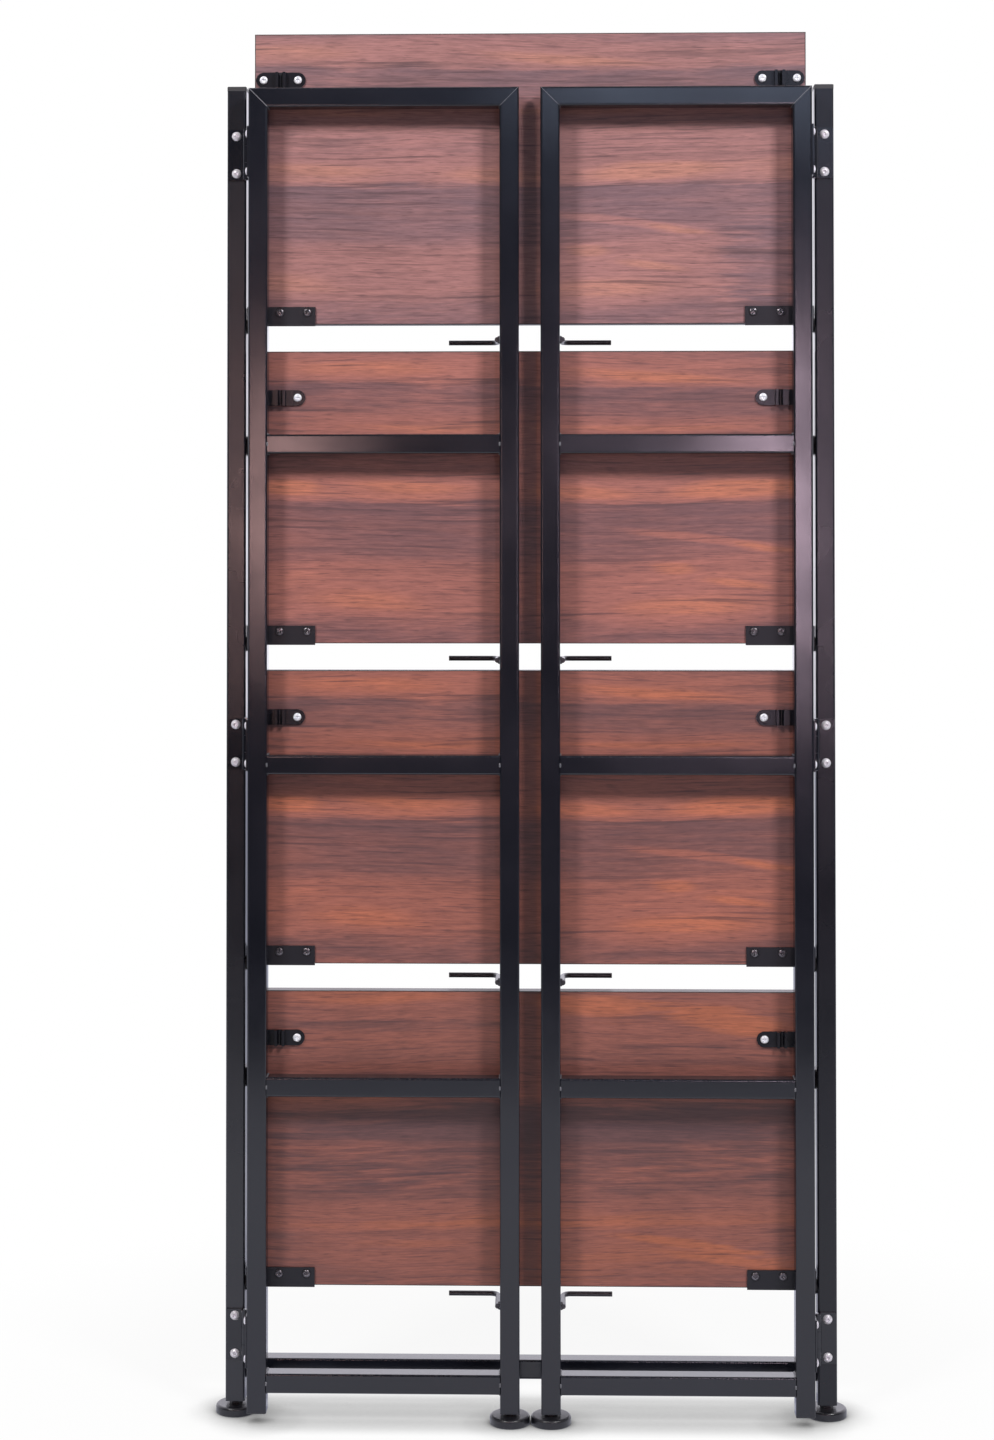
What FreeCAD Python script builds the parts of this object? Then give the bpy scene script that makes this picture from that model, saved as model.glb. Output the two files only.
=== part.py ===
import FreeCAD
import Part
import os

# Folding bookcase, in millimetres.  +X is to the right, +Y to the back and +Z up.
# The origin lies on the floor, in the middle of the folded bookcase, in line with the front
# faces of the two back uprights.  The bookcase is drawn folded: the four boards stand up
# between the back frame and the two side frames, which are swung in front of it.

doc = FreeCAD.newDocument("folding_bookcase")
sheet = doc.addObject("Spreadsheet::Sheet", "sizes")

SIZES = [
    # overall sizes
    ("overall_width", 600.0, "outer side of one back upright to the other's"),
    ("board_depth", 288.5, "board, front to back in use, so its height when folded"),
    ("board_gap", 26.5, "from one folded board to the next"),
    ("lowest_pivot", 126.0, "floor to the lowest board's pivot"),
    ("upright_rise", 238.0, "top board's pivot to the top of the back uprights"),
    ("side_frame_drop", 6.0, "top of the back uprights to the top of the side frames"),
    # square tube
    ("tube_side", 19.0, "side of the square tube"),
    ("tube_wall", 1.0, "its wall"),
    ("tube_corner", 2.0, "its outer corner radius"),
    # back frame
    ("upright_foot_gap", 1.8, "foot's hub to the lower end of a back upright"),
    ("lowest_rail", 39.0, "floor to the middle of the lowest back rail and side rail"),
    ("rail_drop", 115.0, "third board's pivot to the middle of the third rail"),
    ("rail_step", 1.5, "how much less than the boards' pitch the rails' pitch is"),
    ("cap_height", 4.5, "visible part of an upright's top cap"),
    ("plug_length", 14.0, "part of a plug or cap inside its tube"),
    ("plug_gap", 0.1, "play of a plug in its tube"),
    ("plug_head", 2.5, "visible part of a back rail's end plug"),
    # side frames
    ("side_frame_foot_gap", 0.3, "foot's hub to the lower end of a side frame"),
    ("clip_clearance", 0.8, "side frame to the clips behind it"),
    ("barrel_clearance", 0.25, "hinge barrel to the tube in front of it and behind it"),
    ("side_frame_side", 5.0, "side frame's outer side to the upright's inner face"),
    ("centre_gap", 21.0, "between the free edges of the two closed side frames"),
    ("shoe_height", 1.7, "rounded end of an outer side upright's plug"),
    # hinges
    ("hinge_height", 50.0, "height of a butt hinge"),
    ("hinge_top_rise", 169.5, "top board's pivot to the middle of the upper hinge"),
    ("hinge_middle_drop", 97.5, "second board's pivot to the middle of the middle hinge"),
    ("hinge_low_drop", 47.5, "lowest board's pivot to the middle of the lower hinge"),
    ("leaf_thick", 1.5, "hinge leaf"),
    ("leaf_edge", 1.0, "leaf edge to the edge of its tube"),
    ("barrel_radius", 4.0, "outside of the knuckles"),
    ("hinge_pin_radius", 2.0, "hinge pin"),
    ("hinge_running_gap", 0.05, "radial play of the knuckles on the pin"),
    ("knuckle_gap", 0.3, "between knuckles, and leaves and knuckles"),
    ("knuckle_height", 16.4, "middle knuckle"),
    ("rivet_pitch", 37.0, "between the two rivets of a leaf"),
    ("rivet_head_radius", 4.7, "rivet head"),
    ("rivet_head_height", 2.4, "rivet head"),
    ("rivet_radius", 2.4, "rivet shank"),
    ("rivet_length", 6.0, "rivet shank below the head"),
    ("hole_play", 0.1, "radial play of a fastener in its hole"),
    # boards
    ("board_end_gap", 8.5, "board's end to the upright beside it"),
    ("board_thick", 15.0, "board"),
    ("board_setback", 1.0, "board's underside ahead of the uprights' front faces"),
    ("board_above_pivot", 1.0, "pivot to the board's rear edge"),
    # pivot brackets
    ("bracket_plate", 2.0, "bracket sheet"),
    ("bracket_reach", 67.5, "length of a bracket along the board"),
    ("bracket_width", 19.0, "width of a bracket on the board"),
    ("bracket_drop", 1.5, "bracket's edge beyond the board's rear edge"),
    ("ear_radius", 8.0, "rounded end of the ear"),
    ("bracket_screw_in", 30.5, "ear to the nearer screw"),
    ("bracket_screw_pitch", 27.0, "between a bracket's two screws"),
    ("bracket_screw_rise", 12.0, "board's rear edge to the screws"),
    ("pivot_radius", 3.0, "pivot pin"),
    ("pivot_play", 0.05, "radial play of the pivot pin"),
    ("pivot_head_radius", 5.0, "pivot pin's head"),
    ("pivot_head_height", 1.7, "pivot pin's head"),
    ("pivot_tail_radius", 4.2, "pin's flared tail inside the upright"),
    ("pivot_tail_length", 1.5, "the same"),
    ("spacer_radius", 7.0, "spacer between ear and upright"),
    ("spacer_length", 1.5, "the same, so also the ear's gap to the upright"),
    # screws
    ("screw_radius", 1.9, "screw shank"),
    ("screw_length", 10.0, "screw shank below the head"),
    ("screw_head_radius", 4.0, "pan head"),
    ("screw_head_height", 2.2, "pan head"),
    # support rods
    ("rod_radius", 2.5, "support rod"),
    ("rod_bend", 8.0, "bend radius of a rod's middle line"),
    ("rod_weld_length", 4.0, "length of rod beside the side upright"),
    ("rod_length", 49.0, "rod's outer leg to its end"),
    # clips
    ("clip_length", 49.0, "clip along the board"),
    ("clip_width", 15.3, "clip"),
    ("clip_edge", 46.0, "board's front edge to the middle of the clip"),
    ("clip_in", 26.0, "board's end to the middle of the clip"),
    ("clip_base", 1.6, "base of the clip"),
    ("clip_web", 1.7, "board to the channel that takes the rod"),
    ("clip_lip", 2.2, "how far the jaws reach past the rod's middle"),
    ("clip_jaw", 2.2, "thickness of a jaw at its foot"),
    ("clip_play", 0.3, "radial play of the rod in the clip"),
    ("clip_bite", 0.6, "how much narrower than the rod the opening between the jaws is"),
    ("clip_screw_out", 17.0, "middle of the clip to a screw"),
    # levelling feet
    ("foot_radius", 19.5, "foot pad"),
    ("foot_height", 8.5, "foot pad"),
    ("foot_round", 2.5, "rounding of the pad's upper rim"),
    ("foot_sole_round", 0.8, "rounding of the pad's lower rim"),
    ("hub_radius", 6.5, "hexagonal hub of the pad, across its corners"),
    ("hub_height", 2.2, "hub above the pad"),
    ("stem_radius", 4.0, "threaded stem"),
    ("stem_play", 0.05, "radial play of the stem in its insert"),
    ("stem_seat", 2.5, "floor to the stem's lower end"),
    ("stem_in_tube", 17.0, "stem inside the upright"),
    ("insert_length", 20.0, "threaded insert in the upright's lower end"),
]

for row, (alias, value, note) in enumerate(SIZES, 1):
    sheet.set("A%d" % row, alias)
    sheet.set("B%d" % row, str(value))
    sheet.set("C%d" % row, note)
    sheet.setAlias("B%d" % row, alias)
doc.recompute()


# ---------------------------------------------------------------- expressions
# Places that several pieces share, each one expression over the sheet.

def size(alias):
    return "sizes." + alias


def plus(*terms):
    return "(" + " + ".join(terms) + ")"


def minus(first, *others):
    return "(" + " - ".join((first,) + others) + ")"


def half(term):
    return "(" + term + " / 2)"


def neg(term):
    return "(0 - " + term + ")"


TUBE = size("tube_side")
WALL = size("tube_wall")
HALF = half(size("overall_width"))
UPRIGHT_IN = minus(HALF, TUBE)
UPRIGHT_MID_X = minus(HALF, half(TUBE))

# the boards' pivots set the levels: top board first
PITCH = plus(size("board_depth"), size("board_gap"))
PIVOT_Y = half(TUBE)
PIVOT_ZS = [plus(size("lowest_pivot"), "%d * " % n + PITCH) for n in (3, 2, 1, 0)]
UPRIGHT_TOP = plus(PIVOT_ZS[0], size("upright_rise"))
FOOT_TOP = plus(size("foot_height"), size("hub_height"))
UPRIGHT_BOTTOM = plus(FOOT_TOP, size("upright_foot_gap"))
RAIL_LOW = minus(PIVOT_ZS[2], size("rail_drop"))
RAIL_ZS = [
    plus(RAIL_LOW, "2 * " + minus(PITCH, size("rail_step"))),
    plus(RAIL_LOW, minus(PITCH, size("rail_step"))),
    RAIL_LOW,
    size("lowest_rail"),
]

# a clip holds the rod this far under the board, and its jaws reach a little further
BOARD_END = minus(UPRIGHT_IN, size("board_end_gap"))
BOARD_FRONT = neg(size("board_setback"))
ROD_DROP = plus(size("clip_web"), size("rod_radius"), size("clip_play"))
CLIP_HEIGHT = plus(ROD_DROP, size("clip_lip"))
CLIP_X = minus(BOARD_END, size("clip_in"))

# the gap behind the side frames takes the clips and the hinge barrels, whichever are larger
CLIP_ROOM = plus(size("board_setback"), CLIP_HEIGHT, size("clip_clearance"))
BARREL_ROOM = "(2 * " + plus(size("barrel_radius"), size("barrel_clearance")) + ")"
FRAME_BACK = neg("max(" + CLIP_ROOM + "; " + BARREL_ROOM + ")")
FRAME_FRONT = minus(FRAME_BACK, TUBE)
FRAME_MID_Y = minus(FRAME_BACK, half(TUBE))
FRAME_OUT = minus(UPRIGHT_IN, size("side_frame_side"))
FRAME_IN = half(size("centre_gap"))
FRAME_IN_MID = plus(FRAME_IN, half(TUBE))
FRAME_TOP = minus(UPRIGHT_TOP, size("side_frame_drop"))
FRAME_BOTTOM = plus(FOOT_TOP, size("side_frame_foot_gap"))
HINGE_X = plus(FRAME_OUT, size("barrel_radius"))
HINGE_Y = half(FRAME_BACK)
HINGE_ZS = [
    plus(PIVOT_ZS[0], size("hinge_top_rise")),
    minus(PIVOT_ZS[1], size("hinge_middle_drop")),
    minus(PIVOT_ZS[3], size("hinge_low_drop")),
]

# the ears stand beside the uprights, and the rods reach the clips when a side frame is open
EAR_OUT = minus(UPRIGHT_IN, size("spacer_length"))
EAR_IN = minus(EAR_OUT, size("bracket_plate"))
ROD_X = plus(FRAME_IN, TUBE, size("rod_radius"))
ROD_Y = plus(HINGE_Y, minus(HINGE_X, CLIP_X))


# -------------------------------------------------------------------- helpers

nodes = []
serial = [0]
TURN = {
    "X": FreeCAD.Rotation(FreeCAD.Vector(0, 1, 0), 90),
    "Y": FreeCAD.Rotation(FreeCAD.Vector(1, 0, 0), -90),
    "Z": FreeCAD.Rotation(),
}


def add(kind, name):
    serial[0] += 1
    return doc.addObject(kind, "%s_%03d" % (name, serial[0]))


def bind(obj, values):
    for prop, expression in values.items():
        obj.setExpression(prop, expression)
    return obj


def place(obj, x, y, z, turn=None):
    if turn is not None:
        obj.Placement = FreeCAD.Placement(FreeCAD.Vector(0, 0, 0), turn)
    return bind(obj, {"Placement.Base.x": x, "Placement.Base.y": y, "Placement.Base.z": z})


def node(obj, label):
    obj.Label = label
    nodes.append(obj)
    return obj


def box(x, y, z, length, width, height, turn=None):
    obj = add("Part::Box", "block")
    bind(obj, {"Length": length, "Width": width, "Height": height})
    return place(obj, x, y, z, turn)


def cylinder(x, y, z, radius, height, run="Z"):
    obj = add("Part::Cylinder", "round")
    bind(obj, {"Radius": radius, "Height": height})
    return place(obj, x, y, z, TURN[run])


def group(parts, name="group"):
    obj = add("Part::Compound", name)
    obj.Links = parts
    return obj


def fuse(parts):
    obj = add("Part::MultiFuse", "union")
    obj.Shapes = parts
    return obj


def cut(base, tools):
    obj = add("Part::Cut", "cut")
    obj.Base = base
    obj.Tool = tools[0] if len(tools) == 1 else group(tools)
    return obj


def common(first, second):
    obj = add("Part::Common", "shared")
    obj.Base = first
    obj.Tool = second
    return obj


def mirror(source):
    obj = add("Part::Mirroring", "mirrored")
    obj.Source = source
    obj.Normal = (1, 0, 0)
    obj.Base = (0, 0, 0)
    return obj


def edges_along(axis):
    """Edge names of a block that run along one axis."""
    found = []
    for number, edge in enumerate(Part.makeBox(1, 1, 1).Edges, 1):
        start, end = edge.Vertexes[0].Point, edge.Vertexes[1].Point
        if abs(end["XYZ".index(axis)] - start["XYZ".index(axis)]) > 0.5:
            found.append("Edge%d" % number)
    return found


def square_tube(run, x, y, z, length):
    """Square tube with rounded corners and open ends, drawn along one axis."""
    body = add("PartDesign::Body", "tube")
    outside = body.newObject("PartDesign::AdditiveBox", "outside")
    names = {"X": "Length", "Y": "Width", "Z": "Height"}
    for axis, prop in names.items():
        outside.setExpression(prop, length if axis == run else TUBE)
    doc.recompute([outside])
    corners = body.newObject("PartDesign::Fillet", "corners")
    corners.Base = (outside, edges_along(run))
    corners.setExpression("Radius", size("tube_corner"))
    bore = body.newObject("PartDesign::SubtractiveBox", "bore")
    for axis, prop in names.items():
        if axis == run:
            bore.setExpression(prop, plus(length, "2"))
            bore.setExpression("Placement.Base." + axis.lower(), "0 - 1")
        else:
            bore.setExpression(prop, minus(TUBE, "2 * " + WALL))
            bore.setExpression("Placement.Base." + axis.lower(), WALL)
    body.Tip = bore
    return place(body, x, y, z)


def button(x, y, z, radius, height, turn):
    """Domed head: a disc shared with a ball, its flat side at the given point."""
    rise = "((%s * %s + %s * %s) / (2 * %s))" % (radius, radius, height, height, height)
    disc = add("Part::Cylinder", "disc")
    bind(disc, {"Radius": radius, "Height": height})
    ball = add("Part::Sphere", "ball")
    bind(ball, {"Radius": rise})
    bind(ball, {"Placement.Base.z": minus(height, rise)})
    return place(common(disc, ball), x, y, z, turn)


TO_FRONT = FreeCAD.Rotation(FreeCAD.Vector(1, 0, 0), 90)
TO_RIGHT = FreeCAD.Rotation(FreeCAD.Vector(0, 1, 0), 90)


# ----------------------------------------------------------------- back frame
# Two square-tube uprights with four rails welded across behind them.

def back_upright():
    length = minus(UPRIGHT_TOP, size("cap_height"), UPRIGHT_BOTTOM)
    tube = square_tube("Z", UPRIGHT_IN, "0", UPRIGHT_BOTTOM, length)
    holes = []
    deep = plus(WALL, "2")
    for z in HINGE_ZS:
        for side in ("0 - ", ""):
            at = plus(z, side + half(size("rivet_pitch")))
            radius = plus(size("rivet_radius"), size("hole_play"))
            holes.append(cylinder(UPRIGHT_MID_X, "0 - 1", at, radius, deep, "Y"))
    for z in PIVOT_ZS:
        radius = plus(size("pivot_radius"), size("pivot_play"))
        holes.append(cylinder(minus(UPRIGHT_IN, "1"), PIVOT_Y, z, radius, deep, "X"))
    return cut(tube, holes)


upright_right = node(back_upright(), "back_upright_right")
node(mirror(upright_right), "back_upright_left")


def back_rail(z):
    length = minus(size("overall_width"), "2 * " + size("plug_head"))
    return square_tube("X", neg(half(length)), TUBE, minus(z, half(TUBE)), length)


for number, z in enumerate(RAIL_ZS, 1):
    node(back_rail(z), "back_rail_%d" % number)


def rail_plug(z):
    """Black plug in a rail's right end: a thin head and a shank that fits the bore."""
    head = size("plug_head")
    plate = box(minus(HALF, head), TUBE, minus(z, half(TUBE)), head, TUBE, TUBE)
    bore = minus(TUBE, "2 * " + WALL, "2 * " + size("plug_gap"))
    inset = plus(WALL, size("plug_gap"))
    deep = size("plug_length")
    shank = box(minus(HALF, head, deep), plus(TUBE, inset), plus(minus(z, half(TUBE)), inset),
                deep, bore, bore)
    return fuse([plate, shank])


rail_plugs = group([rail_plug(z) for z in RAIL_ZS])
node(group([rail_plugs, mirror(rail_plugs)]), "back_rail_end_plugs")


def top_cap():
    """Cap on an upright: a slightly rounded head and a shank that fits the bore."""
    low = minus(UPRIGHT_TOP, size("cap_height"))
    head = box(UPRIGHT_IN, "0", low, TUBE, TUBE, size("cap_height"))
    rounded = add("Part::Fillet", "rounded")
    rounded.Base = head
    radius = float(sheet.tube_wall)
    names = edges_along("Z")
    for number, edge in enumerate(Part.makeBox(1, 1, 1).Edges, 1):
        if min(v.Point.z for v in edge.Vertexes) > 0.5:
            names.append("Edge%d" % number)
    rounded.Edges = [(int(name[4:]), radius, radius) for name in names]
    bore = minus(TUBE, "2 * " + WALL, "2 * " + size("plug_gap"))
    inset = plus(WALL, size("plug_gap"))
    deep = size("plug_length")
    shank = box(plus(UPRIGHT_IN, inset), inset, minus(low, deep), bore, bore, deep)
    return fuse([rounded, shank])


cap = top_cap()
node(group([cap, mirror(cap)]), "upright_top_caps")


# ---------------------------------------------------------------- side frames
# Each is a ladder of square tube, mitred at its two upper corners.

REACH = "(2 * " + TUBE + ")"
SLANT = "(4 * " + TUBE + ")"
LONG_SLANT = "(6 * " + TUBE + ")"


def side_upright(inner):
    """Upright, cut on the 45 degree line of its upper corner."""
    x = FRAME_IN if inner else minus(FRAME_OUT, TUBE)
    length = minus(FRAME_TOP, FRAME_BOTTOM)
    tube = square_tube("Z", x, FRAME_FRONT, FRAME_BOTTOM, length)
    if inner:
        # the line runs from the corner down to the right; what lies above it goes
        turn = FreeCAD.Rotation(FreeCAD.Vector(0, 1, 0), 45)
        tool = box(minus(FRAME_IN, TUBE), minus(FRAME_FRONT, "1"), plus(FRAME_TOP, TUBE),
                   SLANT, plus(TUBE, "2"), REACH, turn)
        return cut(tube, [tool])
    # the line runs from the corner down to the left; what lies above it goes
    turn = FreeCAD.Rotation(FreeCAD.Vector(0, 1, 0), -45)
    tool = box(minus(FRAME_OUT, "3 * " + TUBE), minus(FRAME_FRONT, "1"),
               minus(FRAME_TOP, "3 * " + TUBE), LONG_SLANT, plus(TUBE, "2"), REACH, turn)
    holes = [tool]
    radius = plus(size("rivet_radius"), size("hole_play"))
    for z in HINGE_ZS:
        for side in ("0 - ", ""):
            at = plus(z, side + half(size("rivet_pitch")))
            holes.append(cylinder(minus(FRAME_OUT, WALL, "1"), FRAME_MID_Y, at, radius,
                                  plus(WALL, "2"), "X"))
    return cut(tube, holes)


def side_top_rail():
    """Top rail, cut on the 45 degree line at both of its ends."""
    length = minus(FRAME_OUT, FRAME_IN)
    tube = square_tube("X", FRAME_IN, FRAME_FRONT, minus(FRAME_TOP, TUBE), length)
    wide = plus(TUBE, "2")
    outer = box(plus(FRAME_OUT, TUBE), minus(FRAME_FRONT, "1"), plus(FRAME_TOP, TUBE),
                SLANT, wide, REACH, FreeCAD.Rotation(FreeCAD.Vector(0, 1, 0), 135))
    inner = box(plus(FRAME_IN, "3 * " + TUBE), minus(FRAME_FRONT, "1"),
                minus(FRAME_TOP, "3 * " + TUBE), LONG_SLANT, wide, REACH,
                FreeCAD.Rotation(FreeCAD.Vector(0, 1, 0), -135))
    return cut(tube, [outer, inner])


def side_rail(z):
    length = minus(FRAME_OUT, FRAME_IN, "2 * " + TUBE)
    return square_tube("X", plus(FRAME_IN, TUBE), FRAME_FRONT, minus(z, half(TUBE)), length)


def both_sides(obj, name):
    node(obj, name % "right")
    node(mirror(obj), name % "left")


both_sides(side_upright(False), "side_frame_%s_outer_upright")
both_sides(side_upright(True), "side_frame_%s_inner_upright")
both_sides(side_top_rail(), "side_frame_%s_top_rail")
for number, z in enumerate(RAIL_ZS, 1):
    both_sides(side_rail(z), "side_frame_%s_rail_" + str(number))


# --------------------------------------------------------------------- hinges
# Three butt hinges a side.  The fixed leaf lies on the upright's front face and carries the
# two outer knuckles; the moving leaf lies on the side frame's outer side and carries the
# middle one.

PIN = size("hinge_pin_radius")
BARREL = size("barrel_radius")
LEAF = size("leaf_thick")
HALF_HINGE = half(size("hinge_height"))
HALF_KNUCKLE = half(size("knuckle_height"))
RUN_BORE = plus(PIN, size("hinge_running_gap"))


def rivet_holes(z, x, y, run):
    radius = plus(size("rivet_radius"), size("hole_play"))
    holes = []
    for side in ("0 - ", ""):
        at = plus(z, side + half(size("rivet_pitch")))
        holes.append(cylinder(x, y, at, radius, plus(LEAF, "2"), run))
    return holes


def fixed_leaf(z):
    start = plus(HINGE_X, BARREL, size("knuckle_gap"))
    width = minus(HALF, size("leaf_edge"), start)
    low = minus(z, HALF_HINGE)
    parts = [box(start, neg(LEAF), low, width, LEAF, size("hinge_height"))]
    tall = minus(HALF_HINGE, HALF_KNUCKLE, size("knuckle_gap"))
    for at in (low, plus(z, HALF_KNUCKLE, size("knuckle_gap"))):
        parts.append(box(HINGE_X, neg(LEAF), at, plus(minus(start, HINGE_X), "1"), LEAF, tall))
        parts.append(cylinder(HINGE_X, HINGE_Y, at, BARREL, tall))
    bore = cylinder(HINGE_X, HINGE_Y, minus(low, "1"), RUN_BORE, plus(size("hinge_height"), "2"))
    return cut(fuse(parts), [bore] + rivet_holes(z, UPRIGHT_MID_X, minus(neg(LEAF), "1"), "Y"))


def moving_leaf(z):
    rear = minus(HINGE_Y, BARREL, size("knuckle_gap"))
    front = plus(FRAME_FRONT, size("leaf_edge"))
    low = minus(z, HALF_HINGE)
    parts = [
        box(FRAME_OUT, front, low, LEAF, minus(rear, front), size("hinge_height")),
        box(FRAME_OUT, minus(rear, "1"), minus(z, HALF_KNUCKLE), LEAF,
            plus(minus(HINGE_Y, rear), "1"), size("knuckle_height")),
        cylinder(HINGE_X, HINGE_Y, minus(z, HALF_KNUCKLE), BARREL, size("knuckle_height")),
    ]
    bore = cylinder(HINGE_X, HINGE_Y, minus(low, "1"), RUN_BORE, plus(size("hinge_height"), "2"))
    return cut(fuse(parts), [bore] + rivet_holes(z, minus(FRAME_OUT, "1"), FRAME_MID_Y, "X"))


fixed_leaves = group([fixed_leaf(z) for z in HINGE_ZS])
node(group([fixed_leaves, mirror(fixed_leaves)]), "hinge_fixed_leaves")
both_sides(group([moving_leaf(z) for z in HINGE_ZS]), "hinge_moving_leaves_%s")

pins = group([
    cylinder(HINGE_X, HINGE_Y, minus(z, HALF_HINGE, "0.5"), PIN, plus(size("hinge_height"), "1"))
    for z in HINGE_ZS
])
node(group([pins, mirror(pins)]), "hinge_pins")


def rivet(x, y, z, turn, run):
    """Blind rivet: a domed head on the leaf and a shank into the tube."""
    head = button(x, y, z, size("rivet_head_radius"), size("rivet_head_height"), turn)
    if run == "Y":
        shank = cylinder(x, y, z, size("rivet_radius"), size("rivet_length"), "Y")
    else:
        shank = cylinder(minus(x, size("rivet_length")), y, z, size("rivet_radius"),
                         size("rivet_length"), "X")
    return fuse([head, shank])


def leaf_rivets(fixed):
    rivets = []
    for z in HINGE_ZS:
        for side in ("0 - ", ""):
            at = plus(z, side + half(size("rivet_pitch")))
            if fixed:
                rivets.append(rivet(UPRIGHT_MID_X, neg(LEAF), at, TO_FRONT, "Y"))
            else:
                rivets.append(rivet(plus(FRAME_OUT, LEAF), FRAME_MID_Y, at, TO_RIGHT, "X"))
    return group(rivets)


fixed_rivets = leaf_rivets(True)
node(group([fixed_rivets, mirror(fixed_rivets)]), "hinge_fixed_rivets")
both_sides(leaf_rivets(False), "hinge_moving_rivets_%s")


# --------------------------------------------------------------------- boards
# Each board stands on its rear edge, just above its pivot.  Its underside faces forward.

SHANK = size("screw_radius")
HEAD = size("screw_head_radius")
BRACKET_XS = [
    minus(EAR_IN, size("bracket_screw_in")),
    minus(EAR_IN, size("bracket_screw_in"), size("bracket_screw_pitch")),
]
CLIP_XS = [minus(CLIP_X, size("clip_screw_out")), plus(CLIP_X, size("clip_screw_out"))]


def board_low(z):
    return plus(z, size("board_above_pivot"))


def clip_level(z):
    return minus(plus(board_low(z), size("board_depth")), size("clip_edge"))


def bracket_level(z):
    return plus(board_low(z), size("bracket_screw_rise"))


def board(z):
    panel = box(neg(BOARD_END), BOARD_FRONT, board_low(z), "(2 * " + BOARD_END + ")",
                size("board_thick"), size("board_depth"))
    deep = plus(size("screw_length"), "1")
    radius = plus(SHANK, size("hole_play"))
    holes = []
    for x in BRACKET_XS:
        holes.append(cylinder(x, minus(BOARD_FRONT, "1"), bracket_level(z), radius, deep, "Y"))
    for x in CLIP_XS:
        holes.append(cylinder(x, minus(BOARD_FRONT, "1"), clip_level(z), radius, deep, "Y"))
    right = group(holes)
    return cut(panel, [right, mirror(right)])


for number, z in enumerate(PIVOT_ZS, 1):
    node(board(z), "shelf_board_%d" % number)


# ------------------------------------------------------------- pivot brackets
# An angle of sheet metal at each rear corner of a board: a plate screwed to the underside
# and an ear beside the board's end, which turns on a pin in the upright.

PLATE = size("bracket_plate")


def bracket(z):
    left = minus(EAR_OUT, size("bracket_reach"))
    low = minus(board_low(z), size("bracket_drop"))
    front = minus(BOARD_FRONT, PLATE)
    plate = box(left, front, low, size("bracket_reach"), PLATE, size("bracket_width"))
    back = plus(PIVOT_Y, size("ear_radius"))
    top = plus(low, size("bracket_width"))
    ear = box(EAR_IN, front, z, PLATE, minus(back, front), minus(top, z))
    toe = cylinder(EAR_IN, PIVOT_Y, z, size("ear_radius"), PLATE, "X")
    holes = []
    radius = plus(SHANK, size("hole_play"))
    for x in BRACKET_XS:
        holes.append(cylinder(x, minus(front, "1"), bracket_level(z), radius,
                              plus(PLATE, "2"), "Y"))
    bore = plus(size("pivot_radius"), size("pivot_play"))
    holes.append(cylinder(minus(EAR_IN, "1"), PIVOT_Y, z, bore, plus(PLATE, "2"), "X"))
    return cut(fuse([plate, ear, toe]), holes)


for number, z in enumerate(PIVOT_ZS, 1):
    right = bracket(z)
    node(group([right, mirror(right)]), "shelf_brackets_%d" % number)


def pivot_pin(z):
    head_x = minus(EAR_IN, size("pivot_head_height"))
    head = cylinder(head_x, PIVOT_Y, z, size("pivot_head_radius"), size("pivot_head_height"), "X")
    inside = plus(UPRIGHT_IN, WALL)
    end = plus(inside, size("pivot_tail_length"))
    shank = cylinder(EAR_IN, PIVOT_Y, z, size("pivot_radius"), minus(end, EAR_IN), "X")
    tail = cylinder(inside, PIVOT_Y, z, size("pivot_tail_radius"), size("pivot_tail_length"), "X")
    return fuse([head, shank, tail])


def spacer(z):
    long = size("spacer_length")
    ring = cylinder(EAR_OUT, PIVOT_Y, z, size("spacer_radius"), long, "X")
    bore = plus(size("pivot_radius"), size("pivot_play"))
    hole = cylinder(minus(EAR_OUT, "1"), PIVOT_Y, z, bore, plus(long, "2"), "X")
    return cut(ring, [hole])


pivot_pins = group([pivot_pin(z) for z in PIVOT_ZS])
node(group([pivot_pins, mirror(pivot_pins)]), "pivot_pins")
spacers = group([spacer(z) for z in PIVOT_ZS])
node(group([spacers, mirror(spacers)]), "pivot_spacers")


# --------------------------------------------------------------------- screws

def pan_screw(x, y, z):
    """Pan-head screw driven to the back, its head seated at y."""
    head = button(x, y, z, HEAD, size("screw_head_height"), TO_FRONT)
    shank = cylinder(x, y, z, SHANK, size("screw_length"), "Y")
    return fuse([head, shank])


bracket_front = minus(BOARD_FRONT, PLATE)
screws = group([pan_screw(x, bracket_front, bracket_level(z))
                for z in PIVOT_ZS for x in BRACKET_XS])
node(group([screws, mirror(screws)]), "bracket_screws")


# ---------------------------------------------------------------------- clips
# A moulded clip near each front corner of a board.  Its jaws open away from the underside
# and snap over a support rod that runs from front to back.

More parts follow.
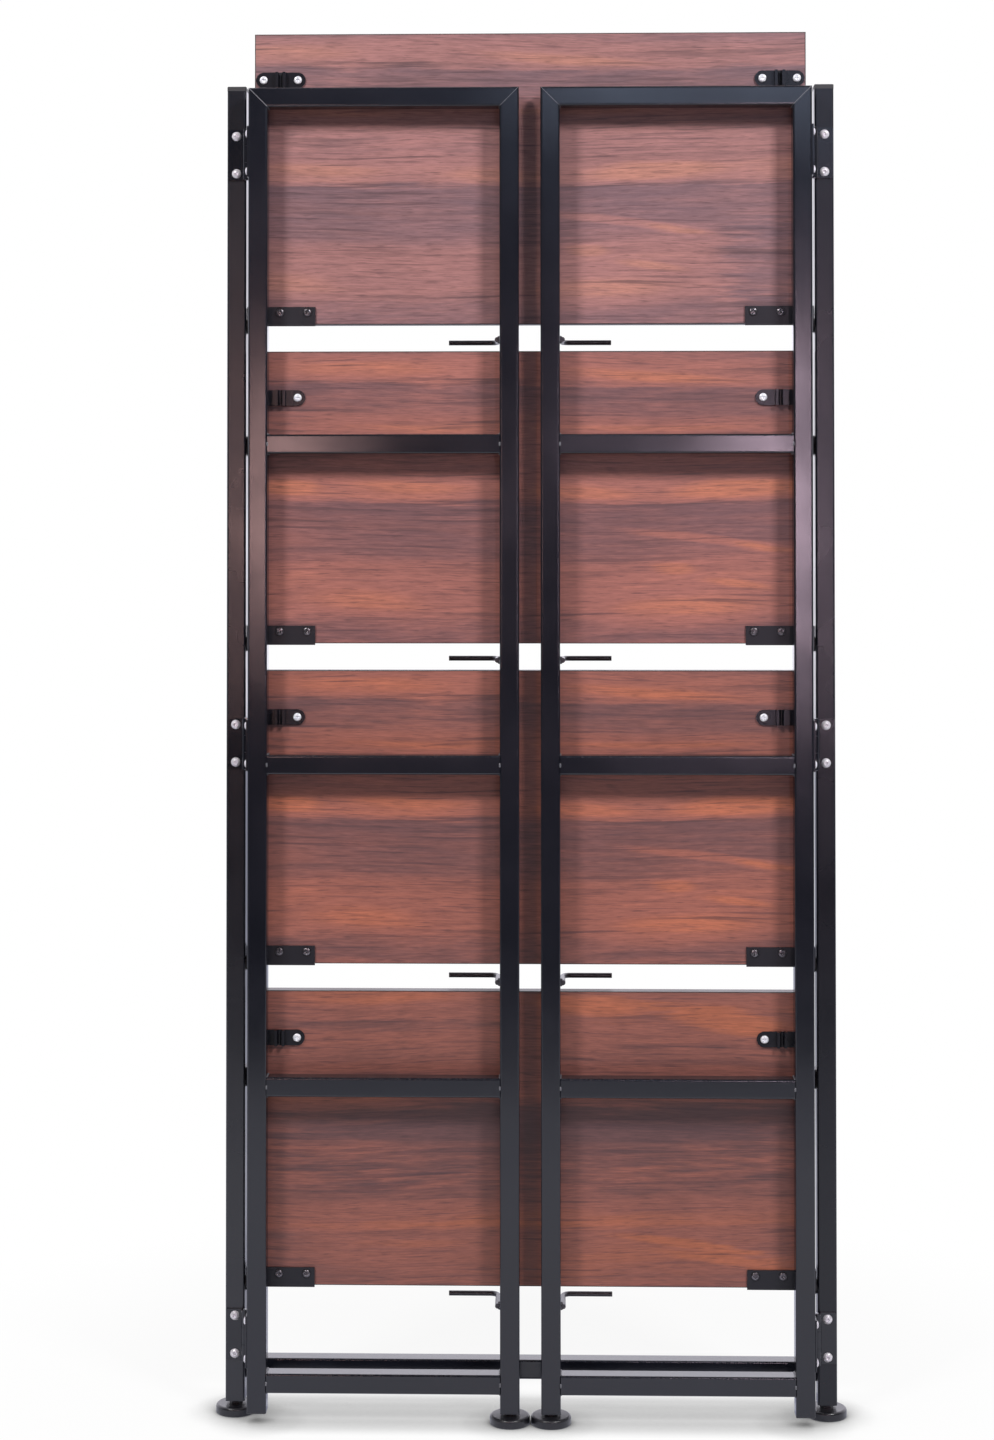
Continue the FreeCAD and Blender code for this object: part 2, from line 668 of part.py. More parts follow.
def clip(z):
    level = clip_level(z)
    width = size("clip_width")
    low = minus(level, half(width))
    base_front = minus(BOARD_FRONT, size("clip_base"))
    straight = minus(size("clip_length"), width)
    parts = [box(minus(CLIP_X, half(straight)), base_front, low, straight,
                 size("clip_base"), width)]
    for side in ("0 - ", ""):
        x = plus(CLIP_X, side + half(straight))
        parts.append(cylinder(x, base_front, level, half(width), size("clip_base"), "Y"))
    bore = plus(size("rod_radius"), size("clip_play"))
    half_hump = plus(bore, size("clip_jaw"))
    parts.append(box(minus(CLIP_X, half_hump), minus(BOARD_FRONT, CLIP_HEIGHT), low,
                     "(2 * " + half_hump + ")", CLIP_HEIGHT, width))
    rod_y = minus(BOARD_FRONT, ROD_DROP)
    channel = cylinder(CLIP_X, rod_y, minus(low, "1"), bore, plus(width, "2"))
    opening = minus("2 * " + size("rod_radius"), size("clip_bite"))
    mouth = box(minus(CLIP_X, half(opening)), minus(rod_y, "2 * " + bore), minus(low, "1"),
                opening, "(2 * " + bore + ")", plus(width, "2"))
    holes = [channel, mouth]
    radius = plus(SHANK, size("hole_play"))
    for x in CLIP_XS:
        deep = plus(size("clip_base"), "2")
        holes.append(cylinder(x, minus(base_front, "1"), level, radius, deep, "Y"))
    return cut(fuse(parts), holes)


for number, z in enumerate(PIVOT_ZS, 1):
    right = clip(z)
    node(group([right, mirror(right)]), "shelf_clips_%d" % number)

clip_front = minus(BOARD_FRONT, size("clip_base"))
screws = group([pan_screw(x, clip_front, clip_level(z)) for z in PIVOT_ZS for x in CLIP_XS])
node(group([screws, mirror(screws)]), "clip_screws")


# ----------------------------------------------------------------------- rods
# A bent wire rod for each board corner, welded beside the side frame's inner upright.  It
# passes back between two folded boards, then turns outward.  With the side frame open it
# runs from front to back under the board, where the clip sits.

ROD = size("rod_radius")


def rod_level(z):
    """Height of the rod that carries the board on this pivot."""
    underside = minus(z, plus(PIVOT_Y, size("board_setback")))
    return minus(underside, ROD_DROP)


def support_rod(z):
    level = rod_level(z)
    bend = size("rod_bend")
    start = minus(FRAME_BACK, size("rod_weld_length"))
    leg = cylinder(ROD_X, start, level, ROD, minus(ROD_Y, bend, start), "Y")
    elbow = add("Part::Torus", "elbow")
    bind(elbow, {"Radius1": bend, "Radius2": ROD})
    elbow.Angle3 = 90
    place(elbow, plus(ROD_X, bend), minus(ROD_Y, bend), level,
          FreeCAD.Rotation(FreeCAD.Vector(0, 0, 1), 90))
    arm = cylinder(plus(ROD_X, bend), ROD_Y, level, ROD, minus(size("rod_length"), bend), "X")
    return fuse([leg, elbow, arm])


both_sides(group([support_rod(z) for z in PIVOT_ZS]), "support_rods_%s")


# ------------------------------------------------------- plugs, inserts, feet
# The two back uprights and the two inner side uprights each stand on a levelling foot: a
# round pad on a threaded stem in an insert.  The outer side uprights end in a plain plug.

BORE = minus(TUBE, "2 * " + WALL, "2 * " + size("plug_gap"))
INSET = plus(WALL, size("plug_gap"))


def insert(x, y, z):
    """Insert in the lower end of an upright whose left front lower corner is given."""
    block = box(plus(x, INSET), plus(y, INSET), z, BORE, BORE, size("insert_length"))
    bore = plus(size("stem_radius"), size("stem_play"))
    hole = cylinder(plus(x, half(TUBE)), plus(y, half(TUBE)), minus(z, "1"), bore,
                    plus(size("insert_length"), "2"))
    return cut(block, [hole])


def shoe():
    """Plug with a rounded end under an outer side upright."""
    x = minus(FRAME_OUT, TUBE)
    low = minus(FRAME_BOTTOM, size("shoe_height"))
    head = box(x, FRAME_FRONT, low, TUBE, TUBE, size("shoe_height"))
    rounded = add("Part::Fillet", "rounded")
    rounded.Base = head
    names = edges_along("Z")
    for number, edge in enumerate(Part.makeBox(1, 1, 1).Edges, 1):
        if max(v.Point.z for v in edge.Vertexes) < 0.5:
            names.append("Edge%d" % number)
    radius = min(float(sheet.tube_corner), 0.8 * float(sheet.shoe_height))
    rounded.Edges = [(int(name[4:]), radius, radius) for name in names]
    shank = box(plus(x, INSET), plus(FRAME_FRONT, INSET), FRAME_BOTTOM, BORE, BORE,
                size("plug_length"))
    return fuse([rounded, shank])


back_insert = insert(UPRIGHT_IN, "0", UPRIGHT_BOTTOM)
node(group([back_insert, mirror(back_insert)]), "back_foot_inserts")
both_sides(group([insert(FRAME_IN, FRAME_FRONT, FRAME_BOTTOM), shoe()]),
           "side_frame_%s_end_plugs")


def foot_pad(x, y):
    """Round pad with a rounded rim, a six-sided hub and a blind hole for the stem."""
    body = add("PartDesign::Body", "pad")
    disc = body.newObject("PartDesign::AdditiveCylinder", "disc")
    bind(disc, {"Radius": size("foot_radius"), "Height": size("foot_height")})
    doc.recompute([disc])
    rims = {}
    for number, edge in enumerate(disc.Shape.Edges, 1):
        if len(edge.Vertexes) == 1:
            rims[edge.Vertexes[0].Point.z > 1] = "Edge%d" % number
    upper = body.newObject("PartDesign::Fillet", "upper_rim")
    upper.Base = (disc, [rims[True]])
    upper.setExpression("Radius", size("foot_round"))
    doc.recompute([upper])
    lower = body.newObject("PartDesign::Fillet", "lower_rim")
    name = ""
    for number, edge in enumerate(upper.Shape.Edges, 1):
        if max(v.Point.z for v in edge.Vertexes) < 0.01 and len(edge.Vertexes) == 1:
            name = "Edge%d" % number
    lower.Base = (upper, [name])
    lower.setExpression("Radius", size("foot_sole_round"))
    hub = body.newObject("PartDesign::AdditivePrism", "hub")
    hub.Polygon = 6
    hub.setExpression("Circumradius", size("hub_radius"))
    hub.setExpression("Height", size("hub_height"))
    hub.setExpression("Placement.Base.z", size("foot_height"))
    hole = body.newObject("PartDesign::SubtractiveCylinder", "stem_hole")
    hole.setExpression("Radius", plus(size("stem_radius"), size("stem_play")))
    hole.setExpression("Height", plus(size("foot_height"), size("hub_height")))
    hole.setExpression("Placement.Base.z", size("stem_seat"))
    body.Tip = hole
    return place(body, x, y, "0")


def foot_stem(x, y, tube_low):
    seat = size("stem_seat")
    long = minus(plus(tube_low, size("stem_in_tube")), seat)
    return cylinder(x, y, seat, size("stem_radius"), long)


both_sides(foot_pad(UPRIGHT_MID_X, PIVOT_Y), "foot_pad_back_%s")
both_sides(foot_pad(FRAME_IN_MID, FRAME_MID_Y), "foot_pad_front_%s")
both_sides(foot_stem(UPRIGHT_MID_X, PIVOT_Y, UPRIGHT_BOTTOM), "foot_stem_back_%s")
both_sides(foot_stem(FRAME_IN_MID, FRAME_MID_Y, FRAME_BOTTOM), "foot_stem_front_%s")


# --------------------------------------------------------------------- output

doc.recompute()

faults = []
for obj in doc.Objects:
    if "Invalid" in obj.State or "Error" in obj.State:
        faults.append("%s: %s" % (obj.Label, ", ".join(obj.State)))
for obj in nodes:
    if obj.Shape.isNull() or not obj.Shape.isValid() or not obj.Shape.Solids:
        faults.append("%s has no valid shape" % obj.Label)
if faults:
    raise RuntimeError("\n".join(faults))

os.makedirs("parts", exist_ok=True)
for obj in nodes:
    obj.Shape.exportStep("parts/%s.step" % obj.Label)
print("%d sub-parts written" % len(nodes))
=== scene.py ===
import math

import bpy
import numpy as np
from mathutils import Matrix, Vector


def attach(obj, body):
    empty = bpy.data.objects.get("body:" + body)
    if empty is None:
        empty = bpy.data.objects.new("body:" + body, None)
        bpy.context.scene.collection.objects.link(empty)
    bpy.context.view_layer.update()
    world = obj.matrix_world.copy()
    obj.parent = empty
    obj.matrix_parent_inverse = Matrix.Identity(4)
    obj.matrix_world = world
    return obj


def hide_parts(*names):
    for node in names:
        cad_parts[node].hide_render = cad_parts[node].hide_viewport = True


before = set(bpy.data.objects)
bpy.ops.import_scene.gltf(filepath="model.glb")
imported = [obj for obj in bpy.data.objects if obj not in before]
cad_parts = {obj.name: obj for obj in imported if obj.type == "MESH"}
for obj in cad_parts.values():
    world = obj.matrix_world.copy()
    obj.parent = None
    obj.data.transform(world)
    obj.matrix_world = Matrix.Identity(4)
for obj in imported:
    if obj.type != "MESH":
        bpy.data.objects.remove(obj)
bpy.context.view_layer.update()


# ---- Room, camera and lights -------------------------------------------------
# A white studio floor that runs into a white backdrop, seen by an upright camera 2.4 m in
# front.  Two square soft boxes hang high at the left and right and light the object; three
# panels round the camera only show as soft reflections in the coated tubes.

def look_matrix(place, pitch, yaw, roll):
    """Camera at a place, looking along +Y, tipped up by pitch, turned right by yaw and rolled."""
    cp, sp, cy, sy = math.cos(pitch), math.sin(pitch), math.cos(yaw), math.sin(yaw)
    ahead = Vector((sy * cp, cy * cp, sp))
    side = Vector((cy, -sy, 0))
    up = side.cross(ahead)
    side, up = (side * math.cos(roll) + up * math.sin(roll),
                up * math.cos(roll) - side * math.sin(roll))
    turn = Matrix((side, up, -ahead)).transposed().to_4x4()
    return Matrix.Translation(place) @ turn


# picture size, focal length and optical centre in pixels
WIDE_PX, TALL_PX, FOCAL_PX = 994, 1440, 2497.3
CENTRE_X_PX, CENTRE_Y_PX = 483.4, 491.7
SENSOR_MM = 36
camera = bpy.data.objects.new("camera", bpy.data.cameras.new("camera"))
bpy.context.scene.collection.objects.link(camera)
camera.matrix_world = look_matrix(Vector((0.0109, -2.4646, 0.8622)), math.radians(1.033),
                                  math.radians(-1.321), math.radians(-0.018))
camera.data.sensor_width = SENSOR_MM
camera.data.lens = FOCAL_PX / TALL_PX * SENSOR_MM
camera.data.shift_x = (WIDE_PX / 2 - CENTRE_X_PX) / TALL_PX
camera.data.shift_y = (CENTRE_Y_PX - TALL_PX / 2) / TALL_PX
camera.data.clip_start, camera.data.clip_end = 0.05, 60
bpy.context.scene.camera = camera
bpy.context.scene.view_settings.view_transform = "Standard"


def put(tree, kind, inputs=None, **settings):
    """Adds a shader node, sets its properties, and sets or links its inputs."""
    made = tree.nodes.new(kind)
    for key, value in settings.items():
        setattr(made, key, value)
    for key, value in (inputs or {}).items():
        if isinstance(value, bpy.types.NodeSocket):
            tree.links.new(value, made.inputs[key])
        else:
            made.inputs[key].default_value = value
    return made


sky = bpy.data.worlds.new("sky")
bpy.context.scene.world = sky
sky.use_nodes = True
tree = sky.node_tree
tree.nodes.clear()
path = put(tree, "ShaderNodeLightPath")
white = put(tree, "ShaderNodeBackground", {"Color": (1, 1, 1, 1), "Strength": 1.0})
fill = put(tree, "ShaderNodeBackground", {"Color": (1.0, 0.93, 0.90, 1), "Strength": 0.075})
# gloss sees the white backdrop behind the object and a dim room in front of it
aim = put(tree, "ShaderNodeSeparateXYZ", {0: put(tree, "ShaderNodeTexCoord").outputs["Generated"]})
behind = put(tree, "ShaderNodeMapRange", {"Value": aim.outputs["Y"], "From Min": -0.25,
                                          "From Max": 0.35, "To Min": 0.06, "To Max": 2.0})
mirrored = put(tree, "ShaderNodeBackground", {"Color": (0.97, 0.95, 1.05, 1),
                                              "Strength": behind.outputs[0]})
sky_mix = put(tree, "ShaderNodeMixShader",
              {0: path.outputs["Is Glossy Ray"], 1: fill.outputs[0], 2: mirrored.outputs[0]})
sky_mix = put(tree, "ShaderNodeMixShader",
              {0: path.outputs["Is Camera Ray"], 1: sky_mix.outputs[0], 2: white.outputs[0]})
put(tree, "ShaderNodeOutputWorld", {"Surface": sky_mix.outputs[0]})

# the floor reaches 9 m to each side and behind, and 1.6 m in front
FLOOR, FLOOR_FRONT = 9, -1.6
floor_mesh = bpy.data.meshes.new("floor")
floor_mesh.from_pydata([(-FLOOR, FLOOR_FRONT, 0), (FLOOR, FLOOR_FRONT, 0), (FLOOR, FLOOR, 0),
                        (-FLOOR, FLOOR, 0)], [], [(0, 1, 2, 3)])
floor = bpy.data.objects.new("floor", floor_mesh)
bpy.context.scene.collection.objects.link(floor)
floor_paint = bpy.data.materials.new("studio_floor")
floor_paint.use_nodes = True
tree = floor_paint.node_tree
tree.nodes.clear()
path = put(tree, "ShaderNodeLightPath")
matt = put(tree, "ShaderNodeBsdfDiffuse", {"Color": (0.8, 0.8, 0.8, 1)})
# painted reflection: glossy rays see the floor glow brighter and bluer than the lamps light it
glossy = put(tree, "ShaderNodeMath", {0: path.outputs["Is Glossy Ray"], 1: 0.55},
             operation="MULTIPLY")
mirrored = put(tree, "ShaderNodeEmission", {"Color": (0.70, 0.74, 1.0, 1),
                                            "Strength": glossy.outputs[0]})
lamp_lit_and_painted_gleam = put(tree, "ShaderNodeAddShader", {0: matt.outputs[0], 1: mirrored.outputs[0]})
# the eye sees a white floor with the object's real shadow, and painted shade where the tubes come
# close to it: the floor's glow dims by ambient occlusion there; then pure white from 0.8 m outwards
shadowed = put(tree, "ShaderNodeBsdfDiffuse", {"Color": (0.08, 0.08, 0.08, 1)})
painted_contact_shade = put(tree, "ShaderNodeAmbientOcclusion", {"Distance": 0.043}, samples=12)
close = put(tree, "ShaderNodeMath", {0: painted_contact_shade.outputs["AO"], 1: 1.9}, operation="POWER")
close = put(tree, "ShaderNodeMath", {0: close.outputs[0], 1: 0.93}, operation="MULTIPLY")
glow = put(tree, "ShaderNodeEmission", {"Color": (1, 1, 1, 1), "Strength": close.outputs[0]})
near = put(tree, "ShaderNodeAddShader", {0: shadowed.outputs[0], 1: glow.outputs[0]})
far = put(tree, "ShaderNodeEmission", {"Color": (1, 1, 1, 1), "Strength": 1.0})
reach = put(tree, "ShaderNodeVectorMath", {0: put(tree, "ShaderNodeTexCoord").outputs["Object"]},
            operation="LENGTH")
fade = put(tree, "ShaderNodeMapRange", {"Value": reach.outputs["Value"], "From Min": 0.35,
                                        "From Max": 0.80}, interpolation_type="SMOOTHSTEP")
seen = put(tree, "ShaderNodeMixShader", {0: fade.outputs[0], 1: near.outputs[0], 2: far.outputs[0]})
both = put(tree, "ShaderNodeMixShader",
           {0: path.outputs["Is Camera Ray"], 1: lamp_lit_and_painted_gleam.outputs[0], 2: seen.outputs[0]})
put(tree, "ShaderNodeOutputMaterial", {"Surface": both.outputs[0]})
floor.data.materials.append(floor_paint)


def lamp_panel(name, place, aim, wide, tall, watts, colour):
    """Rectangular area lamp at a place, facing the aim."""
    lamp = bpy.data.objects.new(name, bpy.data.lights.new(name, "AREA"))
    bpy.context.scene.collection.objects.link(lamp)
    lamp.data.shape, lamp.data.size, lamp.data.size_y = "RECTANGLE", wide, tall
    lamp.data.energy, lamp.data.color = watts, colour
    lamp.location = place
    lamp.rotation_euler = (Vector(aim) - Vector(place)).to_track_quat("-Z", "Y").to_euler()
    return lamp


lamp_panel("soft_box_left", (-1.52, -1.94, 2.64), (0, 0, 1.2), 0.60, 0.60, 55, (1.0, 0.99, 0.98))
lamp_panel("soft_box_right", (1.52, -1.94, 2.64), (0, 0, 1.2), 0.60, 0.60, 66, (1.0, 0.99, 1.0))
# the panels: name, place, width, height, watts and colour
for name, place, wide, tall, watts, colour in (
        ("sheen_left", (-0.52, -2.50, 0.93), 0.13, 0.46, 3.7, (1.0, 0.60, 0.57)),
        ("sheen_right", (0.48, -2.50, 0.92), 0.13, 0.62, 6.6, (1.0, 0.74, 0.90)),
        ("sheen_high", (0.33, -2.50, 1.84), 0.72, 0.26, 2.5, (0.62, 0.74, 1.0))):
    sheen = lamp_panel(name, place, (place[0], 0, place[2]), wide, tall, watts, colour)
    sheen.visible_diffuse = False


# ---- Square-tube frames --------------------------------------------------------
# The back frame's two uprights and four rails and the ladder-shaped side frames: 19 mm steel
# tube with 1 mm walls, welded, then powder coated satin black.

def shared_effect(name, inputs, outputs):
    """Shader node group with named inputs and outputs; returns it with its two end nodes."""
    made = bpy.data.node_groups.new(name, "ShaderNodeTree")
    for label, kind, value in inputs:
        made.interface.new_socket(label, in_out="INPUT", socket_type=kind).default_value = value
    for label, kind in outputs:
        made.interface.new_socket(label, in_out="OUTPUT", socket_type=kind)
    return made, made.nodes.new("NodeGroupInput"), made.nodes.new("NodeGroupOutput")


COLOUR, NUMBER, ARROW = "NodeSocketColor", "NodeSocketFloat", "NodeSocketVector"


def coat_effect():
    """Sprayed or moulded skin: fine orange peel, slow drift of tone and sheen, pale dust on
    faces that look up."""
    g, start, end = shared_effect(
        "coat_skin",
        [("Colour", COLOUR, (0.02, 0.02, 0.02, 1)), ("Peel Size", NUMBER, 900.0),
         ("Peel Depth", NUMBER, 0.0001), ("Roughness", NUMBER, 0.4), ("Dust", NUMBER, 0.1)],
        [("Colour", COLOUR), ("Roughness", NUMBER), ("Normal", ARROW)])
    where = put(g, "ShaderNodeTexCoord").outputs["Object"]
    peel = put(g, "ShaderNodeTexNoise", {"Vector": where, "Scale": start.outputs["Peel Size"],
                                         "Detail": 2.0, "Roughness": 0.5})
    drift = put(g, "ShaderNodeTexNoise", {"Vector": where, "Scale": 9.0, "Detail": 4.0})
    bump = put(g, "ShaderNodeBump", {"Height": peel.outputs["Fac"], "Strength": 0.6,
                                     "Distance": start.outputs["Peel Depth"]})
    up = put(g, "ShaderNodeSeparateXYZ", {0: put(g, "ShaderNodeNewGeometry").outputs["Normal"]})
    lying = put(g, "ShaderNodeMath", {0: up.outputs["Z"], 1: 0.0}, operation="MAXIMUM")
    specks = put(g, "ShaderNodeTexNoise", {"Vector": where, "Scale": 260.0, "Detail": 3.0})
    patch = put(g, "ShaderNodeMapRange", {"Value": specks.outputs["Fac"], "From Min": 0.42,
                                          "From Max": 0.72})
    amount = put(g, "ShaderNodeMath", {0: lying.outputs[0], 1: patch.outputs[0]},
                 operation="MULTIPLY")
    amount = put(g, "ShaderNodeMath", {0: amount.outputs[0], 1: start.outputs["Dust"]},
                 operation="MULTIPLY")
    tone = put(g, "ShaderNodeMapRange", {"Value": drift.outputs["Fac"], "From Min": 0.3,
                                         "From Max": 0.7, "To Min": 0.82, "To Max": 1.22})
    shade = put(g, "ShaderNodeVectorMath", {0: start.outputs["Colour"],
                                            "Scale": tone.outputs[0]}, operation="SCALE")
    mixed = put(g, "ShaderNodeMix", {0: amount.outputs[0], 6: shade.outputs[0],
                                     7: (0.34, 0.33, 0.32, 1)}, data_type="RGBA")
    g.links.new(mixed.outputs[2], end.inputs["Colour"])
    rough = put(g, "ShaderNodeMapRange", {"Value": drift.outputs["Fac"], "From Min": 0.3,
                                          "From Max": 0.7, "To Min": -0.05, "To Max": 0.05})
    rough = put(g, "ShaderNodeMath", {0: rough.outputs[0], 1: start.outputs["Roughness"]},
                operation="ADD")
    g.links.new(rough.outputs[0], end.inputs["Roughness"])
    g.links.new(bump.outputs[0], end.inputs["Normal"])
    return g


COAT = coat_effect()


def coated(name, colour, rough, peel_size, peel_depth, dust, gloss=0.5):
    """Material of one colour with the skin effect."""
    made = bpy.data.materials.new(name)
    made.use_nodes = True
    t = made.node_tree
    t.nodes.clear()
    skin = put(t, "ShaderNodeGroup", node_tree=COAT)
    for label, value in (("Colour", (*colour, 1)), ("Roughness", rough), ("Dust", dust),
                         ("Peel Size", peel_size), ("Peel Depth", peel_depth)):
        skin.inputs[label].default_value = value
    shader = put(t, "ShaderNodeBsdfPrincipled",
                 {"Base Color": skin.outputs["Colour"], "Roughness": skin.outputs["Roughness"],
                  "Normal": skin.outputs["Normal"], "Specular IOR Level": gloss})
    put(t, "ShaderNodeOutputMaterial", {"Surface": shader.outputs[0]})
    return made


def paint(material, *nodes):
    """Gives CAD nodes this material."""
    for name in nodes:
        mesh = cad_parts[name].data
        mesh.materials.clear()
        mesh.materials.append(material)


SIDES = ((-1, "left"), (1, "right"))
SATIN_BLACK = (0.0070, 0.0078, 0.0130)
black_coat = coated("satin_black_powder_coat", SATIN_BLACK, 0.18, 1100, 0.00003, 0.08)
# painted highlight: the side frames' weld beads are a paler grey than the coat, standing in for the
# glints they catch
weld_painted_highlight_coat = coated("weld_bead_painted_highlight", (0.15, 0.15, 0.17), 0.34, 1400, 0.00005, 0.15)
# the coat on the back uprights is a little rougher, and duller on the right one
for side, gloss in (("left", 0.60), ("right", 0.38)):
    back_coat = coated("satin_black_coat_back_" + side, SATIN_BLACK, 0.27, 1100, 0.00003, 0.08,
                       gloss=gloss)
    paint(back_coat, "back_upright_" + side)
for _, side in SIDES:
    for part in ("outer_upright", "inner_upright", "top_rail", "rail_1", "rail_2", "rail_3",
                 "rail_4"):
        paint(black_coat, "side_frame_%s_%s" % (side, part))
paint(black_coat, *["back_rail_%d" % n for n in range(1, 5)])


MM = 0.001


def new_piece(name, points, faces, material, body, replaces=(), smooth=True):
    """Mesh object at the origin from an array of points in millimetres, on its body and, where
    it is given, in place of CAD nodes and in a material slot."""
    mesh = bpy.data.meshes.new(name)
    mesh.from_pydata((np.asarray(points, float) * MM).tolist(), [], np.asarray(faces).tolist())
    mesh.validate()
    mesh.polygons.foreach_set("use_smooth", np.full(len(mesh.polygons), smooth))
    mesh.materials.append(material)
    made = bpy.data.objects.new(name, mesh)
    bpy.context.scene.collection.objects.link(made)
    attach(made, body)
    if replaces:
        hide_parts(*replaces)
    return made


def grid_faces(rows, columns):
    """Quads of a rows x columns grid whose columns close on themselves."""
    r, c = np.meshgrid(np.arange(rows - 1), np.arange(columns), indexing="ij")
    a = r * columns + c
    b = r * columns + (c + 1) % columns
    return np.stack([a, b, b + columns, a + columns], -1).reshape(-1, 4)


def bead(start, end, radius, ripple=0.16, spacing=1.1, around=12):
    """Weld bead: a round rope from start to end whose radius swells and shrinks in even
    ripples, one every spacing mm, and runs out to nothing at both ends."""
    start, end = np.array(start, float), np.array(end, float)
    length = np.linalg.norm(end - start)
    rows = max(10, int(length / 0.35))  # rings 0.35 mm apart, and never fewer than ten
    s = np.linspace(0, 1, rows)
    along = (end - start) / length
    across = np.cross(along, (0.31, 0.87, 0.39))  # a slant that no bead runs along
    across /= np.linalg.norm(across)
    third = np.cross(along, across)
    taper = np.clip(np.minimum(s, 1 - s) * length / radius, 0, 1)
    swell = 1 + ripple * np.sin(2 * np.pi * s * length / spacing)
    fat = radius * np.sqrt(1 - (1 - taper) ** 2) * swell
    angle = np.linspace(0, 2 * np.pi, around, endpoint=False)
    ring = np.cos(angle)[:, None] * across + np.sin(angle)[:, None] * third
    points = start + s[:, None, None] * (end - start) + fat[:, None, None] * ring
    return points.reshape(-1, 3), grid_faces(rows, around)


def join(parts):
    """One point array and one face array from several."""
    points, faces, first = [], [], 0
    for p, f in parts:
        points.append(p)
        faces.append(np.asarray(f) + first)
        first += len(p)
    return np.concatenate(points), np.concatenate(faces)


RAIL_LEVELS = (953.0, 639.5, 326.0, 39.0)
HALF_TUBE = 9.5
# a side frame's tubes: outer and inner side of the frame, the faces its rails are welded to,
# front and rear, and the top rail's upper and lower face
FRAME_OUT, FRAME_IN = 276.0, 10.5
RAIL_OUT, RAIL_IN = 257.0, 29.5
FRONT, REAR = -27.5, -8.5
TOP, UNDER_TOP = 1303.0, 1284.0
for sign, side in SIDES:
    welds = []
    for y in (FRONT, REAR):
        # mitred corners: the bead is dressed nearly flush
        welds.append(bead((sign * (FRAME_OUT - 0.6), y, TOP - 0.6),
                          (sign * (RAIL_OUT + 0.2), y, UNDER_TOP + 0.2), 0.45, 0.1))
        welds.append(bead((sign * (FRAME_IN + 0.6), y, TOP - 0.6),
                          (sign * (RAIL_IN - 0.2), y, UNDER_TOP + 0.2), 0.20, 0.1))
    for x in (sign * RAIL_OUT, sign * RAIL_IN):
        welds.append(bead((x, FRONT + 1.5, UNDER_TOP), (x, REAR - 1.5, UNDER_TOP), 0.7))
    for level in RAIL_LEVELS:
        for x in (sign * RAIL_IN, sign * RAIL_OUT):
            for z in (level - HALF_TUBE, level + HALF_TUBE):
                welds.append(bead((x, FRONT + 1.3, z), (x, REAR - 1.3, z), 1.0))
            welds.append(bead((x, FRONT + 0.1, level - 2.2), (x, FRONT + 0.1, level + 2.0), 0.9))
            welds.append(bead((x, REAR - 0.2, level - 6), (x, REAR - 0.2, level + 6), 0.7))
    points, faces = join(welds)
    new_piece("side_frame_%s_welds" % side, points, faces, weld_painted_highlight_coat, "side_frame_" + side)

# inner and outer side of a back upright, and its rear face, where the back rails lie
UPRIGHT_IN, UPRIGHT_OUT, BACK = 281.0, 300.0, 19.0
welds = []
for sign in (-1, 1):
    near_x, far_x = sign * (UPRIGHT_IN + 1.5), sign * (UPRIGHT_OUT - 1.5)
    x = sign * UPRIGHT_IN
    for level in RAIL_LEVELS:
        for z in (level - HALF_TUBE, level + HALF_TUBE):
            welds.append(bead((near_x, BACK, z), (far_x, BACK, z), 1.1))
        welds.append(bead((x, BACK, level - 8), (x, BACK, level + 8), 0.9))
points, faces = join(welds)
new_piece("back_frame_welds", points, faces, black_coat, "bookcase")


# ---- Hinges ------------------------------------------------------------------------
# Three steel butt hinges a side, 50 mm tall, coated with the frame.  The leaves are held by
# bright blind rivets with a domed head and the stub of their mandrel in the middle.

hinge_coat = coated("hinge_black_coat", SATIN_BLACK, 0.20, 900, 0.00003, 0.05)
paint(hinge_coat, "hinge_fixed_leaves", "hinge_moving_leaves_left", "hinge_moving_leaves_right")


def metal_effect():
    """Plated or bare metal: tarnish in soft patches and short fine scratches."""
    g, start, end = shared_effect(
        "metal_skin",
        [("Colour", COLOUR, (0.8, 0.8, 0.8, 1)), ("Tarnish", COLOUR, (0.4, 0.4, 0.4, 1)),
         ("Roughness", NUMBER, 0.25), ("Patch Size", NUMBER, 220.0)],
        [("Colour", COLOUR), ("Roughness", NUMBER), ("Normal", ARROW)])
    where = put(g, "ShaderNodeTexCoord").outputs["Object"]
    patches = put(g, "ShaderNodeTexNoise", {"Vector": where, "Scale": start.outputs["Patch Size"],
                                            "Detail": 4.0})
    mask = put(g, "ShaderNodeMapRange", {"Value": patches.outputs["Fac"], "From Min": 0.45,
                                         "From Max": 0.75})
    mixed = put(g, "ShaderNodeMix", {0: mask.outputs[0], 6: start.outputs["Colour"],
                                     7: start.outputs["Tarnish"]}, data_type="RGBA")
    stretched = put(g, "ShaderNodeMapping", {"Vector": where, "Scale": (900, 900, 5200)})
    fine = put(g, "ShaderNodeTexNoise", {"Vector": stretched.outputs[0], "Scale": 1.0,
                                         "Detail": 2.0})
    bump = put(g, "ShaderNodeBump", {"Height": fine.outputs["Fac"], "Strength": 0.35,
                                     "Distance": 0.00003})
    rough = put(g, "ShaderNodeMapRange", {"Value": patches.outputs["Fac"], "From Min": 0.3,
                                          "From Max": 0.7, "To Min": -0.05, "To Max": 0.12})
    rough = put(g, "ShaderNodeMath", {0: rough.outputs[0], 1: start.outputs["Roughness"]},
                operation="ADD")
    g.links.new(mixed.outputs[2], end.inputs["Colour"])
    g.links.new(rough.outputs[0], end.inputs["Roughness"])
    g.links.new(bump.outputs[0], end.inputs["Normal"])
    return g


METAL = metal_effect()


